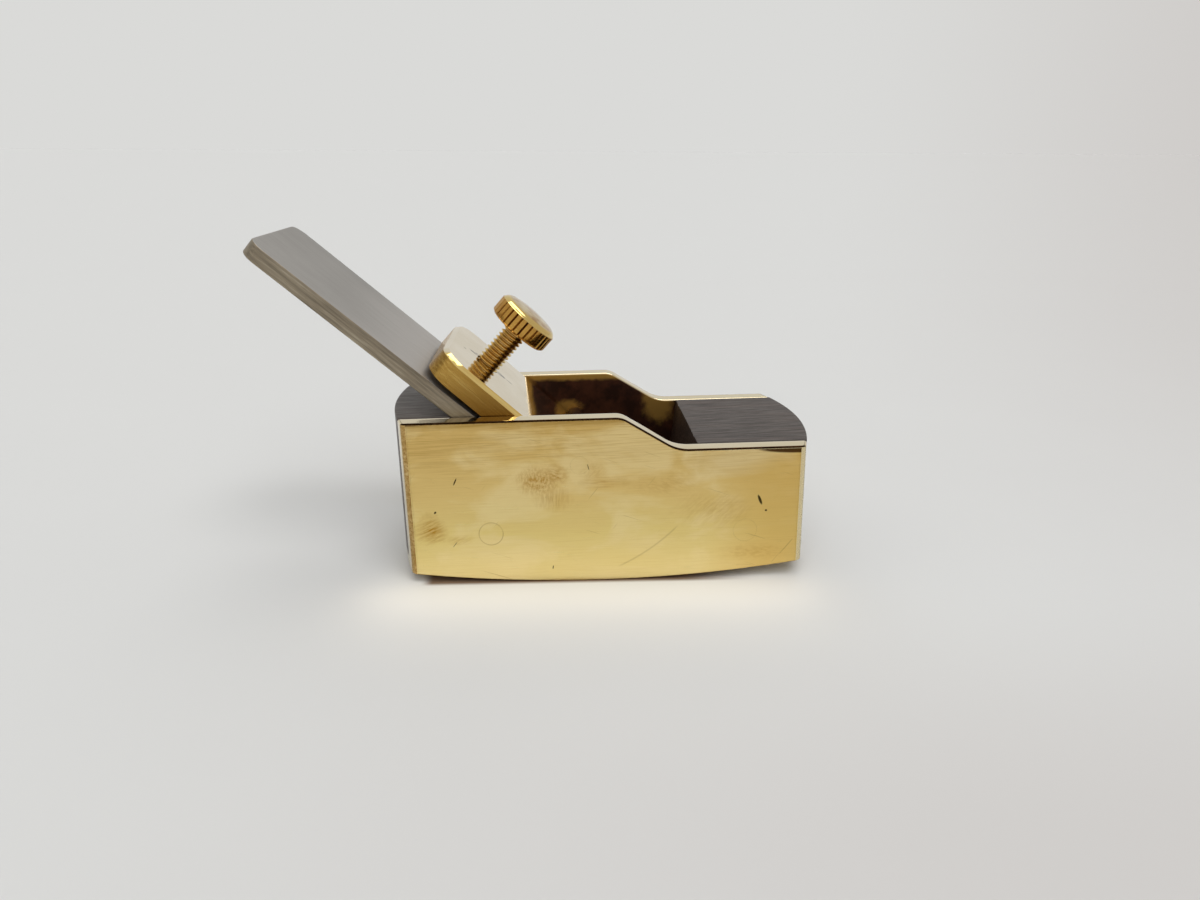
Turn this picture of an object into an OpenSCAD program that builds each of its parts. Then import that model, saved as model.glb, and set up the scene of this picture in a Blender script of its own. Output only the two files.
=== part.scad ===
// Brass and ebony infill finger plane with a curved sole.
// Axes: X runs from heel to toe, Y to the plane's left side, Z up. The body is
// drawn about its own middle and its sole's lowest line, then moved along X so
// that the origin is under the middle of the whole object, blade included.

/* [Body] */
// Length of a cheek, with the filed arrises at its ends
body_len = 60.8; // [54:0.2:72]
// Width over both cheeks
body_w = 32; // [28:1:38]
// Thickness of each brass cheek
cheek_t = 3; // [2.4:0.1:3.6]
// How far each end bows out at the middle
end_bow = 2.8; // [1:0.1:5]
// Width filed off the upright arris at each end of a cheek
end_arris = 0.5; // [0.3:0.05:0.8]
// Height of the cheeks and ebony behind the throat
heel_h = 26.5; // [25:0.5:29]
// Height of the cheeks and ebony at the toe
toe_h = 21.2; // [18:0.2:22]
// Radius of the sole's curve along its length
sole_r = 215; // [160:5:400]
// Height of the flat inner face of the sole
sole_t = 4; // [3.4:0.1:4.8]

/* [Top edge step] */
// Where the high top edge starts to fall, ahead of the body's middle
step_x = 1.4; // [0:0.1:4]
// Slope of the straight stretch, in degrees
step_slope = 32; // [25:1:45]
// Radius of the upper, outward curve
step_r_top = 3.4; // [2:0.1:5]
// Radius of the lower, inward curve
step_r_foot = 6.5; // [4:0.1:9]

/* [Blade and bed] */
// Angle of the bed from the sole, in degrees
bed_angle = 41.7; // [38:0.1:45]
// Blade thickness
blade_t = 2.4; // [1.8:0.1:2.8]
// Blade length
blade_len = 80; // [70:1:90]
// Gap on each side of the blade to a cheek
blade_side_gap = 0.3; // [0.2:0.05:0.6]
// Radius of the blade's upper corners
blade_corner_r = 2.5; // [1:0.1:4]
// Sharpening angle of the bevel underneath, in degrees
bevel_angle = 30; // [25:1:35]
// How far the cutting edge stands below the sole
edge_out = 0.08; // [0.02:0.01:0.15]
// Cutting edge, ahead of the body's middle
edge_x = 9.7; // [8:0.1:11]
// Width of the mouth ahead of the cutting edge
mouth_gap = 0.9; // [0.6:0.1:1.5]

/* [Front infill] */
// Top rear corner of the front ebony, ahead of the body's middle
throat_x = 14.3; // [13:0.1:16]
// Lean of its throat face from upright, in degrees
throat_lean = 7.2; // [0:0.2:10]

/* [Rivets and cap pin] */
// Rivet diameter inside the infill
rivet_d = 3.2; // [2.4:0.1:4]
// Diameter of a rivet's spread end, flush with the cheek
rivet_head_d = 3.7; // [3.3:0.1:4.6]
// Depth of the spread end
rivet_head_h = 0.6; // [0.3:0.1:1]
// Rear rivet, behind the body's middle
rear_rivet_x = 18; // [14:0.5:22]
// Rear rivet above the sole line
rear_rivet_z = 8.5; // [7.5:0.1:10]
// Front rivet, ahead of the body's middle
front_rivet_x = 21.5; // [18:0.5:24]
// Front rivet above the sole line
front_rivet_z = 7.7; // [7.2:0.1:12]
// Diameter of the cross pin over the lever cap
cap_pin_d = 2.8; // [2:0.1:3]
// Cross pin's distance up the blade from the cutting edge
cap_pin_up = 23; // [20:0.5:26]

/* [Lever cap] */
// Angle between the cap and the blade while it is clamped, in degrees
cap_tilt = 1.3; // [1:0.1:2]
// Thickness of the cap
cap_t = 4.1; // [3:0.1:5]
// Distance of the cap's nose from the cutting edge
nose_back = 9.7; // [6:0.1:12]
// Gap on each side of the cap to a cheek
cap_side_gap = 0.25; // [0.2:0.05:0.6]
// Length of the cap above the cross pin
cap_up_len = 26.3; // [24:0.1:27]
// Radius of the cap's upper corners
cap_corner_r = 4.2; // [2:0.1:6]
// Bevel along the cap's upper edges
cap_bevel = 0.7; // [0.3:0.05:0.8]
// Screw axis above the cross pin, along the cap
screw_reach = 18.9; // [17:0.1:20]

/* [Thumbscrew] */
// Thread diameter over the crests
thread_d = 4; // [3:0.1:5]
// Thread pitch
thread_pitch = 0.7; // [0.5:0.05:0.8]
// Bare thread between the cap and the knob
thread_show = 7.4; // [5:0.1:9]
// Diameter of the plain end of the stud inside the knob
spigot_d = 2.8; // [2:0.1:3]
// Length of that plain end
spigot_len = 2.2; // [1.5:0.1:2.6]
// Knob diameter over the knurl
knob_d = 10.4; // [8:0.1:13]
// Height of the knurled band
knob_h = 2.9; // [2.2:0.1:4]
// Height of the dome over the band
knob_dome_h = 1.2; // [0.6:0.1:2]
// Number of knurl grooves
knurl_count = 32; // [20:1:44]
// Depth of a knurl groove
knurl_depth = 0.28; // [0.15:0.01:0.4]

/* [Hidden] */
$fn = 96;
eps = 0.01;
big = 200;

// Clearances: a rivet fills its hole, moving pieces run free.
rivet_gap = 0.01;
run_gap = 0.05;
seat_gap = 0.03;
knob_run_gap = 0.06;

inner_w = body_w - 2 * cheek_t;
half_len = body_len / 2;
end_r = (body_w * body_w / 4 + end_bow * end_bow) / (2 * end_bow);
toe_tip_x = half_len + end_bow;

// The step in the top edge: a curve, a straight slope and a curve.
step_drop = heel_h - toe_h;
step_bend = 1 - cos(step_slope);
step_rise_curves = (step_r_top + step_r_foot) * step_bend;
step_straight = (step_drop - step_rise_curves) / sin(step_slope);
step_a_x = step_x + step_r_top * sin(step_slope);
step_a_z = heel_h - step_r_top * step_bend;
step_b_x = step_a_x + step_straight * cos(step_slope);
step_b_z = toe_h + step_r_foot * step_bend;
step_end_x = step_b_x + step_r_foot * sin(step_slope);

// Sole height at a station along the body.
function sole_z(x) = sole_r - sqrt(sole_r * sole_r - x * x);

edge_z = sole_z(edge_x) - edge_out;
blade_w = inner_w - 2 * blade_side_gap;
bevel_len = blade_t / tan(bevel_angle);

cap_angle = bed_angle + cap_tilt;
cap_w = inner_w - 2 * cap_side_gap;
cap_pin_groove_r = cap_pin_d / 2 + run_gap;

// How deep the cross pin sits in the groove across the cap, from its axis to
// the cap's upper face, and from its axis to the cap's underside.
cap_pin_drop = 0.62;
cap_under = cap_pin_drop + cap_t;
nose_r = 0.8;
nose_x = cap_pin_up - nose_back;
nose_slope = 35;

// The cap's nose rests on the blade, which sets the pin's height over it.
pin_over = seat_gap + nose_r + (cap_under - nose_r) * cos(cap_tilt) + nose_x * sin(cap_tilt);
cap_pin_x = edge_x - cap_pin_up * cos(bed_angle) + pin_over * sin(bed_angle);
cap_pin_z = edge_z + cap_pin_up * sin(bed_angle) + pin_over * cos(bed_angle);

// Height over the blade of the cap's underside at the screw.
screw_gap = pin_over - cap_under * cos(cap_tilt) + screw_reach * sin(cap_tilt);
tip_len = screw_gap / cos(cap_tilt) - seat_gap;
tip_r = 5;
tip_flank = 0.35;
thread_depth = 0.61 * thread_pitch;
core_r = thread_d / 2 - thread_depth;
tap_r = thread_d / 2 + run_gap;
stud_low = -cap_under - tip_len;
stud_top = -cap_pin_drop + thread_show;
tip_neck = 0.3;
thread_turns = floor((stud_top - stud_low - tip_flank - tip_neck) / thread_pitch);
spigot_gap = 0.1;

knob_r = knob_d / 2;
knob_chamfer = 0.3;
knurl_r = 0.42;
dome_r0 = knob_r - knob_chamfer - 0.15;
dome_r = (dome_r0 * dome_r0 + knob_dome_h * knob_dome_h) / (2 * knob_dome_h);

mouth_x = edge_x + mouth_gap;
mouth_lip = 1;
heel_blunt = 0.3;

// The whole object's reach along X sets where the origin is.
blade_end_x = edge_x - blade_len * cos(bed_angle) - blade_t * sin(bed_angle);
mid_x = (blade_end_x + toe_tip_x) / 2;

// Places

module in_row() {
    translate([-mid_x, 0, 0])
        children();
}

// Draws a side-view outline (x, z) as a slab across the body.
module across(width) {
    rotate([90, 0, 0])
        translate([0, 0, -width / 2])
            linear_extrude(width)
                children();
}

module in_blade_axes() {
    translate([edge_x, 0, edge_z])
        rotate([0, bed_angle, 0])
            children();
}

module in_cap_axes() {
    translate([cap_pin_x, 0, cap_pin_z])
        rotate([0, cap_angle, 0])
            children();
}

// Body forms

// Side view of the body: a high block less the step at the toe and the curve of the sole.
module body_side() {
    difference() {
        translate([-big, -big / 2])
            square([2 * big, big / 2 + heel_h]);
        step_cut();
        body_under();
    }
}

// Everything above the S curve that runs down to the toe's top edge.
module step_cut() {
    // Round the upper shoulder.
    difference() {
        translate([step_x, step_a_z])
            square([step_a_x - step_x, big]);
        translate([step_x, heel_h - step_r_top])
            circle(step_r_top);
    }
    // Over the straight slope.
    polygon([
        [step_a_x, step_a_z],
        [step_b_x, step_b_z],
        [step_b_x, big],
        [step_a_x, big]
    ]);
    // Over the lower curve.
    intersection() {
        translate([step_b_x, toe_h])
            square([step_end_x - step_b_x, big]);
        union() {
            translate([step_end_x, toe_h + step_r_foot])
                circle(step_r_foot);
            translate([step_b_x, step_b_z])
                square([step_r_foot, big]);
        }
    }
    translate([step_end_x, toe_h])
        square([big, big]);
}

// Everything below the curved sole.
module body_under() {
    difference() {
        translate([-big, -big])
            square([2 * big, big + sole_r / 2]);
        translate([0, sole_r])
            circle(sole_r, $fn = 720);
    }
}

// Plan of the body: straight sides, bowed ends, and the four upright arrises filed off.
module body_plan() {
    difference() {
        intersection() {
            square([2 * (toe_tip_x + eps), body_w], center = true);
            translate([toe_tip_x - end_r, 0])
                circle(end_r, $fn = 360);
            translate([end_r - toe_tip_x, 0])
                circle(end_r, $fn = 360);
        }
        for (end = [-1, 1], side = [-1, 1])
            translate([end * half_len, side * body_w / 2])
                rotate(45)
                    square(end_arris * sqrt(2), center = true);
    }
}

module body_blank(width) {
    intersection() {
        across(width)
            body_side();
        linear_extrude(big, center = true)
            body_plan();
    }
}

// Side view of all that lies behind the bed plane and below it.
module bed_side() {
    translate([edge_x, edge_z])
        rotate(-bed_angle)
            translate([-big, -big - blade_t - seat_gap])
                square([2 * big, big]);
}

// Side view of all that lies ahead of the throat face.
module throat_side() {
    translate([throat_x, toe_h])
        rotate(-throat_lean)
            translate([0, -big / 2])
                square([big, big]);
}

module rivet_hole(x, z) {
    translate([x, 0, z])
        rotate([90, 0, 0]) {
            cylinder(h = body_w + 2, r = rivet_d / 2 + rivet_gap, center = true);
            for (side = [-1, 1])
                translate([0, 0, side * body_w / 2])
                    rotate([side > 0 ? 180 : 0, 0, 0])
                        rivet_head(rivet_gap);
        }
}

// A spread rivet end, its wide face on z = 0 and the shank above it.
module rivet_head(gap) {
    cylinder(
        h = rivet_head_h,
        r1 = rivet_head_d / 2 + gap,
        r2 = rivet_d / 2 + gap
    );
}

module rivet(x, z) {
    translate([x, 0, z])
        rotate([90, 0, 0]) {
            cylinder(h = body_w, r = rivet_d / 2, center = true);
            for (side = [-1, 1])
                translate([0, 0, side * body_w / 2])
                    rotate([side > 0 ? 180 : 0, 0, 0])
                        rivet_head(0);
        }
}

module cap_pin_bar(gap) {
    translate([cap_pin_x, 0, cap_pin_z])
        rotate([90, 0, 0])
            cylinder(h = body_w + 2 * gap, r = cap_pin_d / 2 + gap, center = true);
}

// Pieces

// side is +1 for the left cheek and -1 for the right.
module cheek(side) {
    difference() {
        intersection() {
            body_blank(body_w);
            translate([-big / 2, side > 0 ? inner_w / 2 : -body_w / 2, -eps])
                cube([big, cheek_t, big]);
        }
        rivet_hole(-rear_rivet_x, rear_rivet_z);
        rivet_hole(front_rivet_x, front_rivet_z);
        cap_pin_bar(rivet_gap);
    }
}

module side_plate_left() {
    color([0.80, 0.66, 0.36])
        in_row()
            cheek(1);
}

module side_plate_right() {
    color([0.80, 0.66, 0.36])
        in_row()
            cheek(-1);
}

module sole_toe() {
    color([0.78, 0.63, 0.34])
        in_row()
            intersection() {
                body_blank(inner_w);
                across(body_w)
                    polygon([
                        [mouth_x, -1],
                        [mouth_x, sole_z(mouth_x) + mouth_lip],
                        [mouth_x + (sole_t - mouth_lip) * tan(throat_lean), sole_t],
                        [big, sole_t],
                        [big, -1]
                    ]);
            }
}

module sole_heel() {
    blunt_x = edge_x - (blade_t + seat_gap) / sin(bed_angle) - heel_blunt;
    color([0.78, 0.63, 0.34])
        in_row()
            intersection() {
                body_blank(inner_w);
                across(body_w)
                    intersection() {
                        bed_side();
                        translate([-big, -1])
                            square([big + blunt_x, sole_t + 1]);
                    }
            }
}

module rear_infill() {
    color([0.16, 0.13, 0.12])
        in_row()
            difference() {
                intersection() {
                    body_blank(inner_w);
                    across(body_w)
                        intersection() {
                            bed_side();
                            translate([-big, sole_t])
                                square([2 * big, big]);
                        }
                }
                rivet_hole(-rear_rivet_x, rear_rivet_z);
            }
}

module front_infill() {
    color([0.16, 0.13, 0.12])
        in_row()
            difference() {
                intersection() {
                    body_blank(inner_w);
                    across(body_w)
                        intersection() {
                            throat_side();
                            translate([0, sole_t])
                                square([big, big]);
                        }
                }
                rivet_hole(front_rivet_x, front_rivet_z);
            }
}

module rear_infill_pin() {
    color([0.82, 0.68, 0.38])
        in_row()
            rivet(-rear_rivet_x, rear_rivet_z);
}

module front_infill_pin() {
    color([0.82, 0.68, 0.38])
        in_row()
            rivet(front_rivet_x, front_rivet_z);
}

module cap_pin() {
    color([0.82, 0.68, 0.38])
        in_row()
            cap_pin_bar(0);
}

// Side view of the cap about the cross pin: -x is up the cap.
module cap_side() {
    difference() {
        union() {
            translate([-cap_up_len, -cap_under])
                square([cap_up_len + nose_x, cap_t]);
            translate([nose_x, -cap_under + nose_r])
                circle(nose_r);
        }
        // The nose slopes down to its rounded tip.
        translate([nose_x, -cap_under + nose_r])
            rotate(-nose_slope)
                translate([-big / 2, nose_r])
                    square([big, big]);
    }
}

module lever_cap() {
    color([0.84, 0.72, 0.45])
        in_row()
            in_cap_axes()
                difference() {
                    intersection() {
                        across(cap_w)
                            cap_side();
                        linear_extrude(big, center = true)
                            cap_plan();
                    }
                    cap_edge_bevels();
                    rotate([90, 0, 0])
                        cylinder(h = body_w, r = cap_pin_groove_r, center = true);
                    translate([-screw_reach, 0, -cap_under - 1])
                        cylinder(h = cap_t + 2, r = tap_r);
                }
}

// Plan of the cap, with its two upper corners rounded.
module cap_plan() {
    inset = cap_w / 2 - cap_corner_r;
    translate([-cap_up_len + cap_corner_r, -cap_w / 2])
        square([cap_up_len + big / 2, cap_w]);
    translate([-cap_up_len, -inset])
        square([cap_corner_r + 1, 2 * inset]);
    for (side = [-1, 1])
        translate([-cap_up_len + cap_corner_r, side * inset])
            circle(cap_corner_r);
}

// Bevels along both long edges, the upper end and round its corners.
module cap_edge_bevels() {
    inset = cap_w / 2 - cap_corner_r;
    for (side = [-1, 1]) {
        translate([0, side * cap_w / 2, -cap_pin_drop])
            rotate([45, 0, 0])
                cube([big, cap_bevel * sqrt(2), cap_bevel * sqrt(2)], center = true);
        intersection() {
            translate([-cap_up_len + cap_corner_r, side * inset, -cap_pin_drop - cap_bevel])
                rotate_extrude()
                    polygon([
                        [cap_corner_r + eps, -eps],
                        [cap_corner_r + eps, cap_bevel + eps],
                        [cap_corner_r - cap_bevel - eps, cap_bevel + eps]
                    ]);
            translate([-cap_up_len - 1, side > 0 ? inset : -inset - big, -big / 2])
                cube([cap_corner_r + 1, big, big]);
        }
    }
    translate([-cap_up_len, 0, -cap_pin_drop])
        rotate([0, 45, 0])
            cube([cap_bevel * sqrt(2), 2 * inset, cap_bevel * sqrt(2)], center = true);
}

// Half outline of one thread turn, its root at the bottom.
module thread_turn() {
    crest = thread_pitch / 8;
    polygon([
        [0, 0],
        [core_r, 0],
        [core_r, crest],
        [thread_d / 2, thread_pitch / 2 - crest / 2],
        [thread_d / 2, thread_pitch / 2 + crest / 2],
        [core_r, thread_pitch - crest],
        [core_r, thread_pitch],
        [0, thread_pitch]
    ]);
}

module thumbscrew_shank() {
    thread_low = stud_top - thread_turns * thread_pitch;
    color([0.80, 0.62, 0.30])
        in_row()
            in_cap_axes()
                translate([-screw_reach, 0, 0]) {
                    for (turn = [0 : thread_turns - 1])
                        translate([0, 0, thread_low + turn * thread_pitch])
                            rotate_extrude()
                                thread_turn();
                    // Plain end of the stud below the thread, with a domed tip.
                    rotate_extrude()
                        intersection() {
                            translate([0, stud_low])
                                square([core_r, thread_low - stud_low]);
                            translate([0, stud_low + tip_r])
                                circle(tip_r);
                        }
                    translate([0, 0, stud_top])
                        cylinder(h = spigot_len, r = spigot_d / 2);
                }
}

module thumbscrew_knob() {
    color([0.80, 0.64, 0.34])
        in_row()
            in_cap_axes()
                translate([-screw_reach, 0, stud_top + run_gap])
                    difference() {
                        union() {
                            cylinder(h = knob_h, r = knob_r);
                            // Dome: the cap of a sphere over the band.
                            intersection() {
                                translate([0, 0, knob_h - eps])
                                    cylinder(h = knob_dome_h + 1, r = dome_r0);
                                translate([0, 0, knob_h + knob_dome_h - dome_r])
                                    sphere(dome_r);
                            }
                        }
                        knurl_grooves();
                        knob_chamfers();
                        translate([0, 0, -1])
                            cylinder(
                                h = spigot_len + spigot_gap + 1,
                                r = spigot_d / 2 + knob_run_gap
                            );
                    }
}

// Straight grooves round the band, each a round-bottomed cut.
module knurl_grooves() {
    for (i = [0 : knurl_count - 1])
        rotate(i * 360 / knurl_count)
            translate([knob_r + knurl_r - knurl_depth, 0, -1])
                cylinder(h = knob_h + 1 - knob_chamfer / 3, r = knurl_r, $fn = 24);
}

module knob_chamfers() {
    rotate_extrude()
        polygon([
            [knob_r - knob_chamfer, -eps],
            [knob_r + eps, -eps],
            [knob_r + eps, knob_chamfer]
        ]);
    rotate_extrude()
        polygon([
            [knob_r - knob_chamfer, knob_h + eps],
            [knob_r + eps, knob_h + eps],
            [knob_r + eps, knob_h - knob_chamfer]
        ]);
}

module blade() {
    corner_x = -blade_len + blade_corner_r;
    corner_y = blade_w / 2 - blade_corner_r;
    color([0.62, 0.60, 0.58])
        in_row()
            in_blade_axes()
                intersection() {
                    across(blade_w)
                        polygon([
                            [0, 0],
                            [-bevel_len, -blade_t],
                            [-blade_len, -blade_t],
                            [-blade_len, 0]
                        ]);
                    linear_extrude(big, center = true)
                        union() {
                            translate([corner_x, -blade_w / 2])
                                square([blade_len, blade_w]);
                            translate([-blade_len, -corner_y])
                                square([blade_len, 2 * corner_y]);
                            for (side = [-1, 1])
                                translate([corner_x, side * corner_y])
                                    circle(blade_corner_r);
                        }
                }
}

side_plate_left();
side_plate_right();
sole_toe();
sole_heel();
rear_infill();
front_infill();
rear_infill_pin();
front_infill_pin();
cap_pin();
lever_cap();
thumbscrew_shank();
thumbscrew_knob();
blade();
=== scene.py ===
import functools
import math

import bmesh
import bpy
from mathutils import Matrix, Vector


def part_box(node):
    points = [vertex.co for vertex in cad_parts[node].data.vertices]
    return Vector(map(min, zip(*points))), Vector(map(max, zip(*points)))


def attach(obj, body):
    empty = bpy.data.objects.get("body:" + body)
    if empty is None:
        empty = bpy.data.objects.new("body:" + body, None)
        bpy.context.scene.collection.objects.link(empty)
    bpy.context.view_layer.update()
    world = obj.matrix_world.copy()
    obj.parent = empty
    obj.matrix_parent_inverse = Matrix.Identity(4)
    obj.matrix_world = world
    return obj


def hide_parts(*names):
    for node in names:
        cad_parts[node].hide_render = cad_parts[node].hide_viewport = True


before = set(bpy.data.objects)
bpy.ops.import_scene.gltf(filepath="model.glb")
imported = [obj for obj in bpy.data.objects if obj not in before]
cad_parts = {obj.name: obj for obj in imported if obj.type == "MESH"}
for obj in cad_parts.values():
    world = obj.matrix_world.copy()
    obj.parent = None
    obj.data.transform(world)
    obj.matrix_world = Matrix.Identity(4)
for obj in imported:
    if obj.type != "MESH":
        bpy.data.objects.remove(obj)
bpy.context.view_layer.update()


# Cheeks: two thick brass plates, sawn and filed to an S curve along the top and bowed at the
# ends with the rest of the body. Their outer faces are draw-filed and rubbed along their length,
# and every arris is broken by hand.
mm = 0.001
cheek_low, cheek_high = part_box("side_plate_right")
body_mid_x = (cheek_low.x + cheek_high.x) / 2
body_half_w = -cheek_low.y
inner_half_w = -cheek_high.y
heel_h = cheek_high.z
toe_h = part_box("front_infill")[1].z
toe_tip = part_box("front_infill")[1].x - body_mid_x
face_half_len = 30.4 * mm
end_arris = 0.5 * mm
sole_r = 215.0 * mm
step_x, step_slope = 1.4 * mm, math.radians(32)
step_r_top, step_r_foot = 3.4 * mm, 6.5 * mm
broken_w = 0.42 * mm


def end_bow(y):
    """How far the body's ends stand out past the cheeks' flat length, at a place across it."""
    bow = toe_tip - face_half_len
    radius = (body_half_w**2 + bow**2) / (2 * bow)
    return math.sqrt(radius**2 - y * y) - (radius - bow)


def sole_z(x):
    return sole_r - math.sqrt(sole_r**2 - x * x)


def top_z(x):
    """Height of the top edge: level, round the shoulder, down a slope, and round the foot."""
    bend = 1 - math.cos(step_slope)
    straight = ((heel_h - toe_h) - (step_r_top + step_r_foot) * bend) / math.sin(step_slope)
    shoulder_end = step_x + step_r_top * math.sin(step_slope)
    foot_start = shoulder_end + straight * math.cos(step_slope)
    foot_end = foot_start + step_r_foot * math.sin(step_slope)
    if x <= step_x:
        return heel_h
    if x <= shoulder_end:
        return heel_h - step_r_top + math.sqrt(step_r_top**2 - (x - step_x) ** 2)
    if x <= foot_start:
        return heel_h - step_r_top * bend - (x - shoulder_end) * math.tan(step_slope)
    if x <= foot_end:
        return toe_h + step_r_foot - math.sqrt(step_r_foot**2 - (foot_end - x) ** 2)
    return toe_h


def start_piece(name, add_primitive, **sizes):
    """Adds a primitive, with nothing else selected, and gives it and its mesh their name."""
    bpy.ops.object.select_all(action="DESELECT")
    add_primitive(**sizes)
    piece = bpy.context.object
    piece.name = piece.data.name = name
    return piece


def set_mode(mode):
    bpy.ops.object.mode_set(mode=mode)


def point_outwards():
    """In edit mode, turns every face of the piece outwards."""
    bpy.ops.mesh.select_all(action="SELECT")
    bpy.ops.mesh.normals_make_consistent(inside=False)


def evenly(low, high, count):
    return [low + (high - low) * i / count for i in range(count + 1)]


def body_block(name, across, low_z, high_z, columns):
    """A slice of the body: a grid in plan whose rows lie at the given places across it and whose
    ends follow the bow, drawn up between two heights. The upright outer arrises are filed off."""
    rows = len(across) - 1
    grid = {"x_subdivisions": columns, "y_subdivisions": rows, "size": 2}
    piece = start_piece(name, bpy.ops.mesh.primitive_grid_add, **grid)
    set_mode("EDIT")
    bpy.ops.mesh.select_all(action="SELECT")
    bpy.ops.mesh.extrude_region_move(TRANSFORM_OT_translate={"value": (0, 0, 1)})
    point_outwards()
    mesh = bmesh.from_edit_mesh(piece.data)
    for v in mesh.verts:
        y = across[round((v.co.y + 1) / 2 * rows)]
        filed_off = max(0.0, end_arris - body_half_w + abs(y))
        x = v.co.x * (face_half_len + end_bow(y) - filed_off)
        v.co = Vector((x + body_mid_x, y, high_z(x) if v.co.z > 0.5 else low_z(x)))
    bmesh.update_edit_mesh(piece.data)
    set_mode("OBJECT")
    return piece


def take_up(piece):
    """Makes this piece the only one selected, and the active one."""
    bpy.ops.object.select_all(action="DESELECT")
    bpy.context.view_layer.objects.active = piece
    piece.select_set(True)


def break_edges(piece, width, segments=3, angle=35, share=None):
    """Breaks every sharp arris by a small round. share says how much of the width an edge gets, by
    the place of its middle."""
    take_up(piece)
    rounding = piece.modifiers.new("arris", "BEVEL")
    rounding.width = width
    rounding.segments = segments
    rounding.limit_method = "WEIGHT" if share else "ANGLE"
    rounding.angle_limit = math.radians(angle)
    if share:
        rounding.use_clamp_overlap = False
        mesh = bmesh.new()
        mesh.from_mesh(piece.data)
        weight = mesh.edges.layers.float.new("bevel_weight_edge")
        for e in mesh.edges:
            if e.calc_face_angle(0.0) > math.radians(angle):
                e[weight] = share((e.verts[0].co + e.verts[1].co) / 2)
        mesh.to_mesh(piece.data)
        mesh.free()
    bpy.ops.object.modifier_apply(modifier="arris")


def smooth_faces(piece, angle=35):
    """Shades the rounds smooth and keeps the flats flat."""
    take_up(piece)
    bpy.ops.object.shade_smooth_by_angle(angle=math.radians(angle))
    flatten = piece.modifiers.new("flats", "WEIGHTED_NORMAL")
    flatten.keep_sharp = True
    bpy.ops.object.modifier_apply(modifier="flats")


def linear(colour):
    """A colour as the linear values a shader takes, from sRGB hex or from a linear grey level."""
    if not isinstance(colour, str):
        return [colour, colour, colour, 1]
    parts = [int(colour[i : i + 2], 16) / 255 for i in (0, 2, 4)]
    return [c / 12.92 if c <= 0.04045 else ((c + 0.055) / 1.055) ** 2.4 for c in parts] + [1]


def feed(made, *values, **named):
    """Feeds a node's inputs in their order, or by name with underscores for spaces. What feeds one
    is a socket, a colour's hex code, a number (as a colour, a grey level) or a row of numbers."""
    in_use = [socket for socket in made.inputs if socket.enabled]
    by_name = [(made.inputs[name.replace("_", " ")], value) for name, value in named.items()]
    for socket, value in [*zip(in_use, values), *by_name]:
        if isinstance(value, bpy.types.NodeSocket):
            made.id_data.links.new(value, socket)
        elif isinstance(value, str) or (isinstance(value, float) and socket.type == "RGBA"):
            socket.default_value = linear(value)
        else:
            socket.default_value = value


def node(tree, kind, *values, out="", stops=(), **named):
    """Adds one node and gives one of its outputs: the one that is named, or the first in use. Names
    in small letters are its settings, and the others its inputs. stops are a colour ramp's: (place,
    colour or grey level)."""
    made = tree.nodes.new("ShaderNode" + kind)
    for name in [name for name in named if name.islower()]:
        setattr(made, name, named.pop(name))
    feed(made, *values, **named)
    if stops:
        band = made.color_ramp.elements
        while len(band) < len(stops):
            band.new(0.5)
        for element, (place, colour) in zip(band, stops):
            element.position = place
            element.color = linear(colour)
    return made.outputs[out] if out else next(socket for socket in made.outputs if socket.enabled)


def new_material(name):
    """Gives a new material, its shader, and the function that adds a node to it."""
    material = bpy.data.materials.new(name)
    material.use_nodes = True
    tree = material.node_tree
    tree.nodes.clear()
    shader = tree.nodes.new("ShaderNodeBsdfPrincipled")
    output = tree.nodes.new("ShaderNodeOutputMaterial")
    tree.links.new(shader.outputs[0], output.inputs["Surface"])
    return material, shader, functools.partial(node, tree)


def in_mm(add, stretch=(1, 1, 1), turn=(0, 0, 0)):
    """Object coordinates in millimetres, turned and then stretched."""
    turned = add("Mapping", add("TexCoord", out="Object"), Rotation=turn, vector_type="TEXTURE")
    return add("VectorMath", turned, [s * 1000 for s in stretch], operation="MULTIPLY")


def mottle(add, fineness, detail=3, roughness=0.5, turn=(0, 0, 0), distortion=0.0):
    """A cloudy pattern. fineness is how many clouds go to a millimetre, the same every way or one
    number for each axis, which draws the clouds out into streaks."""
    stretch = fineness if isinstance(fineness, tuple) else (fineness, fineness, fineness)
    shape = {"Detail": detail, "Roughness": roughness, "Distortion": distortion}
    return add("TexNoise", in_mm(add, stretch, turn), Scale=1.0, **shape)


def mask(add, *parts):
    """How strongly something shows, from 0 to 1: its parts, multiplied together. A part is a value,
    a (value, place, place) that rises smoothly from 0 at the first place to 1 at the second, or a
    [value, stop, stop] that follows a ramp."""
    factors = []
    for part in parts:
        if isinstance(part, tuple):
            part = add("MapRange", *part, interpolation_type="SMOOTHSTEP")
        elif isinstance(part, list):
            part = add("ValToRGB", part[0], stops=part[1:])
        factors.append(part)
    return functools.reduce(lambda a, b: add("Math", a, b, operation="MULTIPLY"), factors)


def tint(add, colour, tone, *parts):
    """Lays a tone over a colour as strongly as a mask of those parts says."""
    return add("Mix", mask(add, *parts), colour, tone, data_type="RGBA")


def most(add, values):
    """The largest of several values."""
    return functools.reduce(lambda a, b: add("Math", a, b, operation="MAXIMUM"), values)


def near(add, plain, centre, reach, turn=0.0, depth=3.0, rim=None, ragged=0.0):
    """How far off a spot is on an upright or sloping face, as a share of the spot's reach along and
    across it: 0 in its middle and 1 at its rim. depth is how far the spot goes across the body, in
    mm. The pattern rim makes the rim ragged."""
    scale = (reach[0], depth, reach[1])
    spot = add("Mapping", plain, centre, (0, -turn, 0), scale, vector_type="TEXTURE")
    off = add("VectorMath", spot, operation="LENGTH")
    if rim is None:
        return off
    off = add("Math", off, ragged / 2, operation="SUBTRACT")
    return add("Math", rim, ragged, off, operation="MULTIPLY_ADD")


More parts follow.
